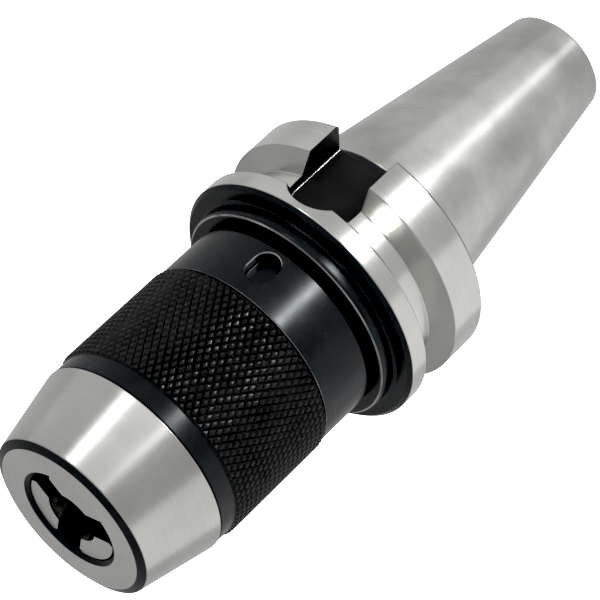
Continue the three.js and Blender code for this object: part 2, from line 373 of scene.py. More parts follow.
@dataclass(frozen=True)
class Grained(Finish):
    """An even-grained finish, for rubber, paint and painted edge highlights."""

    scale: float = 100.0
    metallic: float = 0.0
    relief: float = 0.0
    depth: float = 0.00003
    glow: float = 0.0
    detail: float = 2.0

    def look(self, to: Wiring) -> Look:
        """Wire the grain into tone, relief and glow.

        Args:
            to: The material's wiring.

        Returns:
            The finish's tone, and the shader's other inputs.
        """
        tone = to.grain(self.scale, self.detail)
        inputs = {"Metallic": self.metallic, "Emission Color": (1, 1, 1, 1), "Emission Strength": self.glow}
        if self.relief:
            inputs["Normal"] = to.bump(tone, self.relief, self.depth)
        return tone, inputs


GROUND = GroundSteel("ground_steel_finish", rough_low=0.2, rough_high=0.25)
TAPER = GroundSteel(
    "ground_taper_finish", (0.46, 0.458, 0.435), (0.74, 0.745, 0.725), 0.21, 0.28,
    relief=0.02, blotch=0.9, cloud_scale=64.0,
)
FLANGE = GroundSteel("turned_flange_finish", marks_per_metre=2400.0, blotch=0.78, relief=0.03)
# Painted shade: darker ground steel for the groove's rear flank, standing in for the shade inside the
# groove.
GROOVE_SHADE = GroundSteel("groove_flank_painted_shade", (0.45, 0.45, 0.43), (0.56, 0.56, 0.54), blotch=0.8)
# Painted highlight: bright metal laid on thin bands of the black parts' edges, picked by their slant,
# standing in for glints of light there.
EDGE_HIGHLIGHT = Grained(
    "painted_edge_highlight_finish", (0.12, 0.12, 0.125), (0.6, 0.6, 0.605), 0.32, 0.22, scale=110.0, metallic=1.0
)
JAW_STEEL = GroundSteel("jaw_steel_finish", marks_per_metre=1800.0, rough_low=0.3, rough_high=0.4)
# Painted shade: dark steel for the jaws' lead-in, flanks and land, standing in for the shade and dark
# reflections inside the mouth.
JAW_SHADE = TurnedMetal("jaw_painted_shade_finish", (0.035, 0.035, 0.033), (0.075, 0.075, 0.07), 0.3, 0.45)
BLACK = BlackOxide("black_oxide_finish")
# Painted shade: a duller, neutral black for the slot's walls and floor, darker to stand in for the shade in
# the slot.
SLOT_SHADE_BLACK = BlackOxide(
    "black_slot_painted_shade", (0.0028, 0.0029, 0.0028), (0.0054, 0.0055, 0.0053), 0.3, 0.4,
    gloss=0.21, tint=(1.0, 1.0, 1.0),
)
KNURL = BlackOxide(
    "black_knurl_finish", (0.0025, 0.0025, 0.0026), (0.005, 0.0051, 0.0052), 0.24, 0.34,
    relief=0.15, gloss=0.27, tint=(0.97, 0.99, 1.0),
)
HARD = TurnedMetal("hard_steel_finish")
BRONZE = TurnedMetal("bronze_finish", (0.42, 0.25, 0.09), (0.60, 0.39, 0.16), 0.25, 0.4)
RUBBER = Grained(
    "seal_rubber_finish", (0.01, 0.01, 0.011), (0.02, 0.02, 0.02), 0.6, 0.8, 2500.0, relief=0.3
)
FLOOR = Grained("pale_floor", (0.90, 0.90, 0.90), (0.92, 0.92, 0.92), 0.9, 0.9, 3.0, glow=0.8)


# ---- mesh making


def rounded(corner: Point, before: Point, after: Point, radius: float, steps: int = 4) -> list[Point]:
    """Round a corner of an outline.

    Args:
        corner: The sharp corner.
        before: The outline's point before it.
        after: The outline's point after it.
        radius: Distance from the corner at which the round starts.
        steps: Number of straight steps in the round.

    Returns:
        The points that replace the corner.
    """
    middle = Vector(corner)
    start = middle + (Vector(before) - middle).normalized() * radius
    end = middle + (Vector(after) - middle).normalized() * radius
    points = []
    for i in range(steps + 1):
        t = i / steps
        point = start * (1 - t) ** 2 + middle * 2 * t * (1 - t) + end * t**2
        points.append((point.x, point.y))
    return points


def softened(points: Sequence[Point], radius: float, closed: bool) -> list[Point]:
    """Round the corners of an outline.

    Args:
        points: The sharp outline, as radius and height.
        radius: Size of each round; shorter sides get a smaller one.
        closed: Whether the outline joins its own start.

    Returns:
        The rounded outline.
    """
    result: list[Point] = []
    count = len(points)
    for i, corner in enumerate(points):
        is_end = not closed and i in (0, count - 1)
        if is_end or corner[0] == 0:
            result.append(corner)
            continue
        before, after = points[i - 1], points[(i + 1) % count]
        room = min((Vector(before) - Vector(corner)).length, (Vector(after) - Vector(corner)).length)
        result += rounded(corner, before, after, min(radius, room * MOST_ROUNDED))
    return result


def turned(
    name: str, points: Sequence[Point], closed: bool, segments: int = AROUND,
    wave: Optional[Callable[[float, float, float], float]] = None,
) -> bpy.types.Object:
    """Turn an outline about the chuck's axis.

    Args:
        name: Name of the new object.
        points: Radius and height of each point.
        closed: Whether the outline joins its own start; otherwise it ends on the axis.
        segments: Number of steps round the axis.
        wave: Gives a new radius from radius, height and angle, for threads.

    Returns:
        The new object, in metres.
    """
    made = bmesh.new()
    rings = []
    for radius, height in points:
        if radius < 1e-6:
            rings.append([made.verts.new((0, 0, height * MM))])
            continue
        ring = []
        for i in range(segments):
            angle = 2 * math.pi * i / segments
            x, y = polar(wave(radius, height, angle) if wave else radius, angle)
            ring.append(made.verts.new((x * MM, y * MM, height * MM)))
        rings.append(ring)
    pairs = list(zip(rings, rings[1:]))
    if closed:
        pairs.append((rings[-1], rings[0]))
    for low, high in pairs:
        for i in range(segments):
            j = (i + 1) % segments
            corners = [low[i % len(low)], low[j % len(low)], high[j % len(high)], high[i % len(high)]]
            made.faces.new(list(dict.fromkeys(corners)))
    return as_object(name, made)


def as_object(name: str, made: bmesh.types.BMesh) -> bpy.types.Object:
    """Close a mesh under construction and put it in the scene.

    Args:
        name: Name of the new object.
        made: The mesh under construction, which is freed.

    Returns:
        The new object.
    """
    bmesh.ops.recalc_face_normals(made, faces=made.faces)
    mesh = bpy.data.meshes.new(name)
    made.to_mesh(mesh)
    made.free()
    thing = bpy.data.objects.new(name, mesh)
    bpy.context.scene.collection.objects.link(thing)
    return thing


def polar(radius: float, angle: float) -> Point:
    """Return the x and y of a point round the axis."""
    return radius * math.cos(angle), radius * math.sin(angle)


def prism(name: str, outline: Sequence[Point], low: float, high: float) -> bpy.types.Object:
    """Stand an outline up between two heights, as a solid."""
    return lofted(name, [[Vector((x, y, z)) * MM for x, y in outline] for z in (low, high)])


def lofted(name: str, rings: Sequence[Sequence[Vector]]) -> bpy.types.Object:
    """Skin rings of points, closed by a face at each end.

    Args:
        name: Name of the new object.
        rings: Rings with the same number of points, in metres.

    Returns:
        The new object.
    """
    made = bmesh.new()
    loops = [[made.verts.new(p) for p in ring] for ring in rings]
    count = len(loops[0])
    for low, high in zip(loops, loops[1:]):
        for i in range(count):
            j = (i + 1) % count
            made.faces.new((low[i], low[j], high[j], high[i]))
    made.faces.new(loops[0])
    made.faces.new(list(reversed(loops[-1])))
    return as_object(name, made)


def combine(base: bpy.types.Object, tools: Sequence[bpy.types.Object], operation: str) -> None:
    """Join a solid with others, or cut it by them.

    Args:
        base: The solid that is kept.
        tools: The other solids, which are deleted.
        operation: UNION, DIFFERENCE or INTERSECT.
    """
    for tool in tools:
        step = base.modifiers.new("shape", "BOOLEAN")
        step.object = tool
        step.operation = operation
        step.solver = "EXACT"
    shaped = bpy.data.meshes.new_from_object(base.evaluated_get(bpy.context.evaluated_depsgraph_get()))
    base.modifiers.clear()
    old = base.data
    base.data = shaped
    shaped.name = base.name
    bpy.data.meshes.remove(old)
    for tool in tools:
        bpy.data.objects.remove(tool)


def turned_copies(thing: bpy.types.Object, count: int, start_deg: float) -> list[bpy.types.Object]:
    """Spread copies of a tool evenly about the axis.

    Args:
        thing: The tool, which becomes the last copy.
        count: Number of copies.
        start_deg: Angle of the first one, in degrees.

    Returns:
        The copies, with their places in their meshes.
    """
    copies = []
    for i in range(count):
        copy = thing if i == count - 1 else thing.copy()
        if copy is not thing:
            copy.data = thing.data.copy()
            bpy.context.scene.collection.objects.link(copy)
        copies.append(copy)
    for i, copy in enumerate(copies):
        copy.data.transform(Matrix.Rotation(math.radians(start_deg + 360 * i / count), 4, "Z"))
    return copies


def finish_piece(
    thing: bpy.types.Object, finishes: Sequence[Finish], body: str, nodes: Sequence[str],
    choose: Optional[Callable[[Vector, Vector], Finish]] = None, sharp_deg: float = 32.0,
) -> None:
    """Dress a piece, smooth it and fix it to its body.

    Args:
        thing: The piece.
        finishes: Its finishes, in the order of its material slots.
        body: Name of the body that it rides on.
        nodes: The solids that it stands for.
        choose: Picks a finish from a face's centre and normal.
        sharp_deg: Corners over this angle stay sharp.
    """
    mesh = thing.data
    mesh.materials.clear()
    for item in finishes:
        mesh.materials.append(item.material())
    order = {item.name: i for i, item in enumerate(finishes)}
    for face in mesh.polygons:
        face.use_smooth = True
        face.material_index = order[choose(face.center / MM, face.normal).name] if choose else 0
    mesh.set_sharp_from_angle(angle=math.radians(sharp_deg))
    weigh = thing.modifiers.new("even_shading", "WEIGHTED_NORMAL")
    weigh.keep_sharp = True
    weigh.weight = AREA_WEIGHT
    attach(thing, body)
    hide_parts(*nodes)
    LOG.info("%s: %d faces on %s", thing.name, len(mesh.polygons), body)


def break_edges(thing: bpy.types.Object, width: float, over_deg: float) -> None:
    """Bevel a piece's corners over an angle."""
    bevel = thing.modifiers.new("broken_edges", "BEVEL")
    bevel.width, bevel.segments = width * MM, 2
    bevel.limit_method, bevel.angle_limit = "ANGLE", math.radians(over_deg)


def radial_bar(inner: float, outer: float, half: float, low: float, high: float) -> bpy.types.Object:
    """Make a straight bar that points out along +X.

    Args:
        inner: Where it starts, from the axis.
        outer: Where it ends.
        half: Half its width.
        low: Its lower side.
        high: Its upper side.

    Returns:
        The solid, in metres.
    """
    corners = ((inner, -half), (outer, -half), (outer, half), (inner, half))
    return prism("radial_bar", corners, low, high)


@dataclass(frozen=True)
class RadialSlot:
    """A slot with round ends, cut square to the axis from the -Y side, with a broken outer edge."""

    width: float
    low: float
    high: float
    floor: float
    skin_radius: float
    edge: float
    open_below: bool
    floor_round: float = 0.4
    floor_steps: int = 3
    arc_steps: int = 24
    overshoot: float = 3.0

    def outline(self, grow: float) -> list[Point]:
        """Trace the slot in the plane of x and z.

        Args:
            grow: Amount by which the slot is widened.

        Returns:
            The points, anticlockwise.
        """
        half = self.width / 2
        r = half + grow
        ends = [(self.high - half, 0), (self.low + half, 1)]
        points = []
        for middle, start in ends[:1] if self.open_below else ends:
            for i in range(self.arc_steps + 1):
                x, rise = polar(r, math.pi * (start + i / self.arc_steps))
                points.append((x, middle + rise))
        return points + ([(-r, self.low), (r, self.low)] if self.open_below else [])

    def tool(self) -> bpy.types.Object:
        """Make the solid that cuts the slot.

        Returns:
            The cutter, in metres.
        """
        plain, wide = self.outline(0), self.outline(self.edge * 2)
        skin = [math.sqrt(self.skin_radius**2 - x * x) for x, _ in plain]
        rings = []
        for step in range(self.floor_steps + 1):
            a = math.pi / 2 * step / self.floor_steps
            inset = self.floor_round * (1 - math.sin(a))
            rise = self.floor + self.floor_round * (1 - math.cos(a))
            rings.append([Vector((x, -rise, z)) * MM for x, z in self.outline(-inset)])
        rings += [
            [Vector((x, -y + self.edge, z)) * MM for (x, z), y in zip(plain, skin)],
            [Vector((x, -y - self.edge, z)) * MM for (x, z), y in zip(wide, skin)],
            [Vector((x, -self.skin_radius - self.overshoot, z)) * MM for x, z in wide],
        ]
        return lofted("slot_tool", rings)


# ---- sub-assemblies


@dataclass(frozen=True)
class Thread:
    """A thread along part of a plain wall."""

    wall_r: float
    low: float
    high: float
    pitch: float
    crest_r: float
    depth: float
    hand: Hand
    flat: float = 0.0

    def wave(self, radius: float, height: float, angle: float) -> float:
        """Work out the wall's radius with the thread.

        Args:
            radius: Plain radius.
            height: Height along the axis.
            angle: Angle about the axis, in radians.

        Returns:
            The radius with the thread.
        """
        if abs(radius - self.wall_r) > NEAR or not self.low < height < self.high:
            return radius
        turn = (height / self.pitch - self.hand.value * angle / (2 * math.pi)) % 1.0
        flank = (abs(2 * turn - 1) - self.flat) / (1 - 2 * self.flat)
        return self.crest_r - self.depth * min(1.0, max(0.0, flank))


@dataclass
class TaperShank:
    """Steep-taper shank with its flange, collar and hidden spigot, in one piece."""

    gauge_r: float = 22.225
    length: float = 65.4
    rate: float = 7 / 24
    end_chamfer: float = 1.0
    neck_width: float = 0.3
    neck_depth: float = 0.25
    flange_r: float = 31.5
    flange_rear: float = 2.0
    rear_chamfer: float = 0.6
    flange_front: float = 27.0
    front_chamfer: float = 1.0
    flange_edge: float = 0.22
    groove_centre: float = 16.6
    groove_top: float = 10.0
    groove_root: float = 4.2
    groove_r: float = 26.5
    slot_width: float = 16.1
    slot_low: float = 1.0
    slot_floor: float = 22.6
    slot_end: float = 24.35
    slot_corner: float = 0.3
    slot_edge: float = 0.2
    collar_r: float = 27.2
    collar_top: float = 31.0
    collar_root: float = 0.9
    collar_edge: float = 1.1
    spigot_r: float = 15.5
    spigot_top: float = 58.1
    spigot_chamfer: float = 0.5
    bore_r: float = 11.8
    bore_chamfer: float = 0.4
    bore_floor: float = 29.6
    stud_r: float = 7.0
    stud_pitch: float = 2.0
    stud_depth: float = 1.0
    stud_thread: Point = (9.6, 36.0)
    stud_drilled: float = 40.0
    stud_cone: float = 0.5
    stud_lead_in: float = 1.2
    stud_margin: float = 0.1
    pilot_r: float = 8.5
    pilot_depth: float = 9.0
    pilot_chamfer: Point = (0.8, 1.0)
    slack: float = 0.05
    highlight_width: float = 1.0
    collar_highlight_slant: Span = Span(0.5, 0.88)
    floor_highlight_slant: Span = Span(0.2, 0.95)
    nodes: Sequence[str] = ("taper_shank",)

    def taper_r(self, z: float) -> float:
        """Return the taper's radius at a height."""
        return self.gauge_r + z * self.rate / 2

    def socket(self) -> list[Point]:
        """Trace the pull-stud socket from its floor to the small end.

        Returns:
            The outline.
        """
        face, r, steps_per_turn = -self.length, self.stud_r, 4
        start, end = (face + depth for depth in self.stud_thread)
        steps = int((end - start) / self.stud_pitch * steps_per_turn)
        thread = [(r, end + (start - end) * i / steps) for i in range(steps + 1)]
        pilot, (wide, high) = face + self.pilot_depth, self.pilot_chamfer
        return [
            (0, face + self.stud_drilled), (r, end + self.stud_cone), *thread,
            (r + self.stud_lead_in, pilot),
            (self.pilot_r, pilot), (self.pilot_r, face + high), (self.pilot_r + wide, face),
        ]

    def outside(self) -> list[Point]:
        """Trace the shank from the small end's rim to the bottom of its bore.

        Returns:
            The outline.
        """
        face, rim, centre = -self.length, self.flange_r, self.groove_centre
        half_top, half_root = self.groove_top / 2, self.groove_root / 2
        neck, end, rear = self.gauge_r - self.neck_depth, self.end_chamfer, self.rear_chamfer
        sharp = [
            (self.taper_r(face) - end, face), (self.taper_r(face + end), face + end),
            (self.taper_r(-self.neck_width), -self.neck_width), (neck, 0.0), (neck, self.flange_rear),
            (rim - rear, self.flange_rear), (rim, self.flange_rear + rear),
            (rim, centre - half_top), (self.groove_r, centre - half_root),
            (self.groove_r, centre + half_root), (rim, centre + half_top),
            (rim, self.flange_front - self.front_chamfer), (rim - self.front_chamfer, self.flange_front),
        ]
        root, edge = (self.collar_r, self.flange_front), (self.collar_r, self.collar_top)
        inner = (self.spigot_r, self.collar_top)
        collar = rounded(root, (rim, self.flange_front), edge, self.collar_root, 6)
        collar += rounded(edge, root, inner, self.collar_edge, 7)
        top, chamfer, mouth = self.spigot_top, self.spigot_chamfer, self.bore_chamfer
        spigot = [
            inner, (self.spigot_r, top - chamfer), (self.spigot_r - chamfer, top),
            (self.bore_r + mouth, top), (self.bore_r, top - mouth),
            (self.bore_r, self.bore_floor), (0, self.bore_floor),
        ]
        return softened(sharp, self.flange_edge, False) + collar + spigot

    def finish_at(self, centre: Vector, normal: Vector) -> Finish:
        """Pick a finish for a face.

        Args:
            centre: The face's centre.
            normal: The face's normal.

        Returns:
            The finish.
        """
        x, y, z = centre
        r = math.hypot(x, y)
        if z > self.flange_front - self.front_chamfer + 2 * self.slack:
            # Painted highlight: the collar's front round, where its slant catches light, gets the bright
            # edge finish.
            on_collar_highlight = z > self.collar_top - self.highlight_width and r > self.collar_r - self.highlight_width
            return EDGE_HIGHLIGHT if on_collar_highlight and self.collar_highlight_slant.holds(normal.z) else BLACK
        if z < -self.slack:
            return TAPER
        if z < self.flange_rear + 0.55:
            return BLACK
        half = self.slot_width / 2
        above = max(0.0, z - (self.slot_end - half))
        outward = (normal.x * x + normal.y * y) / r
        on_break = above == 0 and outward < 0.93 and abs(normal.z) < 0.3
        reach = half + (2 * self.slot_edge + self.slack if on_break else 0.06)
        in_slot = abs(y) > self.slot_floor - self.slack and math.hypot(x, above) < reach
        if not in_slot:
            # The groove's rear flank gets the darker steel, as painted shade.
            return GROOVE_SHADE if normal.z > 0.4 and self.flange_rear + 1 < z < self.groove_centre else FLANGE
        # Painted highlight: the slot floor's rounded edges, where their slant catches light, get the bright
        # edge finish.
        on_floor_highlight = abs(y) < self.slot_floor + self.slot_corner
        return EDGE_HIGHLIGHT if on_floor_highlight and self.floor_highlight_slant.holds(abs(normal.y)) else SLOT_SHADE_BLACK

    def build(self) -> None:
        """Build and dress the shank."""
        low, high = (depth - self.length for depth in self.stud_thread)
        thread = Thread(
            self.stud_r, low - self.stud_margin, high + self.stud_margin, self.stud_pitch,
            self.stud_r + self.stud_depth, self.stud_depth, Hand.LEFT,
        )
        shank = turned("shank", self.socket() + self.outside(), False, wave=thread.wave)
        slot = RadialSlot(
            self.slot_width, self.slot_low, self.slot_end, self.slot_floor, self.flange_r,
            self.slot_edge, True, self.slot_corner,
        )
        combine(shank, turned_copies(slot.tool(), 2, 0), "DIFFERENCE")
        finishes = (TAPER, BLACK, FLANGE, EDGE_HIGHLIGHT, GROOVE_SHADE, SLOT_SHADE_BLACK)
        finish_piece(shank, finishes, Body.SHANK.value, self.nodes, self.finish_at)


@dataclass
class RearSleeve:
    """Black ring behind the knurl, with its two spanner pockets and the bearing's seat."""

    low: float = 32.7
    high: float = 46.4
    r: float = 24.5
    lip_r: float = 17.8
    cavity_r: float = 20.4
    seat: float = 43.2
    spigot_r: float = 21.5
    spigot_top: float = 55.6
    pocket_width: float = 6.1
    pocket_length: float = 8.5
    pocket_centre: float = 38.3
    pocket_floor: float = 21.6
    pocket_turn: float = -3.2
    pocket_edge: float = 0.22
    pocket_round: float = 0.4
    pocket_highlight_slant: Span = Span(0.35, 0.9)
    edge: float = 0.35
    highlight_band: float = 0.4
    rim_highlight_slant: Span = Span(0.35, 0.85)
    nodes: Sequence[str] = ("rear_sleeve",)

    def build(self) -> None:
        """Build and dress the ring."""
        outline = [
            (self.lip_r, self.low),
            (self.r, self.low),
            (self.r, self.high),
            (self.spigot_r, self.high),
            (self.spigot_r, self.spigot_top),
            (self.cavity_r, self.spigot_top),
            (self.cavity_r, self.seat),
            (self.lip_r, self.seat),
        ]
        ring = turned("rear_ring", softened(outline, self.edge, True), True)
        half = self.pocket_length / 2
        pocket = RadialSlot(
            self.pocket_width, self.pocket_centre - half, self.pocket_centre + half, self.pocket_floor,
            self.r, self.pocket_edge, False, self.pocket_round,
        )
        combine(ring, turned_copies(pocket.tool(), 2, self.pocket_turn), "DIFFERENCE")
        finish_piece(ring, (BLACK, EDGE_HIGHLIGHT), Body.SLEEVE.value, self.nodes, self.finish_at)

    def finish_at(self, centre: Vector, normal: Vector) -> Finish:
        """Pick black or the painted edge highlight for a face.

        Args:
            centre: The face's centre.
            normal: The face's normal.

        Returns:
            The finish.
        """
        r = math.hypot(centre.x, centre.y)
        if r <= self.r - self.highlight_band:
            return BLACK
        # Painted highlight on the front rim's round and on the pockets' broken edges and floor rounds,
        # where their slant catches light.
        on_rim = centre.z > self.high - self.highlight_band and self.rim_highlight_slant.holds(normal.z)
        outward = (normal.x * centre.x + normal.y * centre.y) / r
        by_pocket_highlight = abs(centre.z - self.pocket_centre) < self.pocket_length / 2 + 0.5
        return EDGE_HIGHLIGHT if on_rim or (by_pocket_highlight and self.pocket_highlight_slant.holds(outward)) else BLACK


@dataclass
class GripSleeve:
    """Knurled grip with a plain band in front of the knurl."""

    low: float = 46.7
    knurl_top: float = 75.1
    top: float = 79.7
    r: float = 25.0
    band_r: float = 24.3
    bore_r: float = 21.8
    depth: float = 0.45
    starts: int = 84
    lead_step: float = 2.94
    shoulder: float = 0.5
    shoulder_drop: float = 0.08
    land: float = 0.2
    wander: float = 0.035
    seed: int = 7
    spare_rows: int = 2
    end_chamfer: float = 0.35
    foot_gap: float = 0.1
    bore_chamfer: float = 0.3
    band_rise: float = 0.15
    band_chamfer: float = 0.25
    nodes: Sequence[str] = ("grip_sleeve",)

    def spot(self, i: float, j: float, radius: float) -> Vector:
        """Place a point of the diamond lattice.

        Args:
            i: Count across the first family of grooves.
            j: Count across the second family.
            radius: Distance from the axis.

        Returns:
            The point, in metres.
        """
        angle = math.pi * (i + j) / self.starts
        height = self.low + (i - j) / 2 * self.lead_step
        return Vector((*polar(radius, angle), height)) * MM

    def diamonds(self) -> bmesh.types.BMesh:
        """Lay out the raised diamonds, past both ends of the knurl.

        Returns:
            The open mesh of the knurl.
        """
        made = bmesh.new()
        found: dict[tuple[int, int], bmesh.types.BMVert] = {}

        def groove(i: int, j: int) -> bmesh.types.BMVert:
            """Return the groove crossing at a lattice point, shared by its four diamonds."""
            while i + j >= 2 * self.starts:
                i, j = i - self.starts, j - self.starts
            if (i, j) not in found:
                found[i, j] = made.verts.new(self.spot(i, j, self.r - self.depth))
            return found[i, j]

        chance = random.Random(self.seed)
        rows = int((self.knurl_top - self.low) / self.lead_step * 2) + self.spare_rows + 1
        corners = ((0, 0), (1, 0), (1, 1), (0, 1))
        levels = ((self.shoulder, self.shoulder_drop), (self.land, 0.0))
        for row in range(-self.spare_rows, rows):
            for k in range(self.starts):
                i = k + (row + 1) // 2
                j = i - row
                lower = [groove(i + a, j + b) for a, b in corners]
                for share, drop in levels:
                    inset = (1 - share) / 2
                    upper = []
                    for a, b in corners:
                        radius = self.r - drop - chance.uniform(0, self.wander)
                        place = self.spot(i + inset + a * share, j + inset + b * share, radius)
                        upper.append(made.verts.new(place))
                    for n in range(4):
                        m = (n + 1) % 4
                        made.faces.new((lower[n], lower[m], upper[m], upper[n]))
                    lower = upper
                made.faces.new(lower)
        return made

    def knurl(self) -> bpy.types.Object:
        """Trim the diamonds to length and close them with the sleeve's band and bore.

        Returns:
            The whole sleeve.
        """
        made = self.diamonds()
        ends = ((self.low + self.end_chamfer, -1.0), (self.knurl_top - self.end_chamfer, 1.0))
        for height, side in ends:
            bmesh.ops.bisect_plane(
                made, geom=made.verts[:] + made.edges[:] + made.faces[:], dist=1e-8,
                plane_co=(0, 0, height * MM), plane_no=(0, 0, side), clear_outer=True,
            )
        foot, inner = self.r - self.depth - self.foot_gap, self.bore_chamfer
        outer, band = self.band_chamfer, self.band_r
        chains = {
            -1.0: [(foot, self.low), (self.bore_r + inner, self.low), (self.bore_r, self.low + inner)],
            1.0: [
                (foot, self.knurl_top), (band, self.knurl_top + self.band_rise),
                (band, self.top - outer), (band - outer, self.top),
                (self.bore_r + inner, self.top), (self.bore_r, self.top - inner),
            ],
        }
        last = {}
        for height, side in ends:
            rim = [e for e in made.edges if e.is_boundary and self.at_height(e, height)]
            last[side] = self.carried(made, rim, chains[side])
        bmesh.ops.bridge_loops(made, edges=last[-1.0] + last[1.0])
        return as_object("knurled_grip", made)

    @staticmethod
    def at_height(edge: bmesh.types.BMEdge, height: float) -> bool:
        """Return whether both ends of an edge are at a height."""
        return all(abs(v.co.z / MM - height) < 0.01 for v in edge.verts)

    @staticmethod
    def carried(
        made: bmesh.types.BMesh, rim: list[bmesh.types.BMEdge], chain: Sequence[Point]
    ) -> list[bmesh.types.BMEdge]:
        """Carry a rim on through a chain of radii and heights.

        Args:
            made: The mesh under construction.
            rim: The rim's edges.
            chain: Radius and height of each further ring.

        Returns:
            The edges of the last ring.
        """
        edges = rim
        for radius, height in chain:
            grown = bmesh.ops.extrude_edge_only(made, edges=edges)["geom"]
            for vert in (g for g in grown if isinstance(g, bmesh.types.BMVert)):
                angle = math.atan2(vert.co.y, vert.co.x)
                vert.co = Vector((*polar(radius, angle), height)) * MM
            edges = [g for g in grown if isinstance(g, bmesh.types.BMEdge) and g.is_boundary]
        return edges

    def finish_at(self, centre: Vector, normal: Vector) -> Finish:
        """Return the knurl's finish for its faces, and plain black for the rest."""
        is_plain = centre.z > self.knurl_top or math.hypot(centre.x, centre.y) < self.band_r - 0.2
        return BLACK if is_plain else KNURL

    def build(self) -> None:
        """Build and dress the grip."""
        grip = self.knurl()
        finish_piece(
            grip, (KNURL, BLACK), Body.SLEEVE.value, self.nodes, self.finish_at, sharp_deg=20.0
        )


@dataclass
class JawShape:
    """Sizes of one jaw, which its way in the nose shares."""

    count: int = 3
    turn: float = 18.3
    slope: float = math.tan(math.radians(18))
    top: float = 98.3
    bottom: float = 76.6
    back_r: float = 11.2
    half_width: float = 6.9
    flank_offset: float = 3.15
    tip_r: float = 4.6
    tip_half: float = 0.6
    lead_in_r: float = 6.3
    lead_in_depth: float = 4.0
    lug_inner: float = 9.0
    lug_outer: float = 14.5
    neck_half: float = 2.2
    foot_half: float = 4.2
    foot_low: float = 69.2
    foot_high: float = 72.3
    overlap: float = 1.0
    back_steps: int = 32

    def back(self, gap: float, low: float, high: float) -> bpy.types.Object:
        """Make the inclined round back that a jaw and its way share.

        Args:
            gap: Clearance added all round.
            low: Lower end.
            high: Upper end.

        Returns:
            The solid, in metres, leaning outwards along +X towards its lower end.
        """
        radius, half = self.back_r + gap, self.half_width + gap
        reach = math.sqrt(radius**2 - half**2)
        limit = math.atan2(half, reach)
        points = [(-reach, half), (-reach, -half)]
        for i in range(self.back_steps + 1):
            points.append(polar(radius, -limit + 2 * limit * i / self.back_steps))
        rings = []
        for height in (low, high):
            shift = (self.top - height) * self.slope
            rings.append([Vector((x + shift, y, height)) * MM for x, y in points])
        return lofted("inclined_back", rings)

    def wedge(self) -> bpy.types.Object:
        """Make the upright wedge that shapes a jaw's land and flanks.

        Returns:
            The solid, in metres.
        """
        lean = math.pi / 3 - math.asin(self.flank_offset / self.lead_in_r)
        corner = self.lead_in_r * math.cos(lean)
        far = self.back_r * 2

        def flank(x: float) -> float:
            """Return the flank's distance from the jaw's middle at x."""
            return (x * math.sin(math.pi / 3) - self.flank_offset) * 2

        half = [(self.tip_r, self.tip_half), (corner, flank(corner)), (far, flank(far))]
        points = [(x, -y) for x, y in half] + [(x, y) for x, y in reversed(half)]
        return prism("wedge", points, self.bottom - self.overlap, self.top + self.overlap)

    def lead_in(self) -> bpy.types.Object:
        """Make the cone that opens the jaws' mouth.

        Returns:
            The solid, in metres.
        """
        start, end, r = self.top - self.lead_in_depth, self.top + 2 * self.overlap, self.lead_in_r
        points = [(0, start), (self.tip_r, start), (r, self.top), (r, end), (0, end)]
        return turned("lead_in", points, False, AROUND_SMALL)


@dataclass
class NoseCone:
    """Ground nose with its mouth and the three inclined ways of the jaws."""

    jaw: JawShape
    rear: float = 80.0
    rear_r: float = 24.5
    front: float = 98.2
    front_r: float = 20.5
    face: float = 99.2
    face_r: float = 18.5
    bore_r: float = 11.45
    mouth_r: float = 12.5
    cavity_r: float = 15.3
    cavity_top: float = 90.1
    spigot_r: float = 21.5
    spigot_low: float = 70.6
    edge: float = 0.18
    way_gap: float = 0.35
    way_below: float = 1.0
    way_above: float = 0.6
    rim_margin: float = 0.08
    nodes: Sequence[str] = ("nose_cone",)

    def finish_at(self, centre: Vector, normal: Vector) -> Finish:
        """Pick ground steel or black for a face.

        Args:
            centre: The face's centre.
            normal: The face's normal.

        Returns:
            The finish.
        """
        r = math.hypot(centre.x, centre.y)
        off_face = r > self.face_r + self.rim_margin or r < self.mouth_r - self.rim_margin
        on_rim = centre.z > self.front + 0.05 and off_face
        inside = r < self.bore_r + 0.3 and centre.z > self.cavity_top
        return BLACK if on_rim or inside else GROUND

    def build(self) -> None:
        """Build and dress the nose."""
        throat = self.face - (self.mouth_r - self.bore_r)
        outline = [
            (self.cavity_r, self.spigot_low),
            (self.spigot_r, self.spigot_low),
            (self.spigot_r, self.rear),
            (self.rear_r, self.rear),
            (self.front_r, self.front),
            (self.face_r, self.face),
            (self.mouth_r, self.face),
            (self.bore_r, throat),
            (self.bore_r, self.cavity_top),
            (self.cavity_r, self.cavity_top),
        ]
        nose = turned("ground_nose", softened(outline, self.edge, True), True)
        way = self.jaw.back(self.way_gap, self.spigot_low - self.way_below, self.jaw.top + self.way_above)
        combine(nose, turned_copies(way, self.jaw.count, self.jaw.turn), "DIFFERENCE")
        finishes, body = (GROUND, BLACK), Body.SLEEVE.value
        finish_piece(nose, finishes, body, self.nodes, self.finish_at)


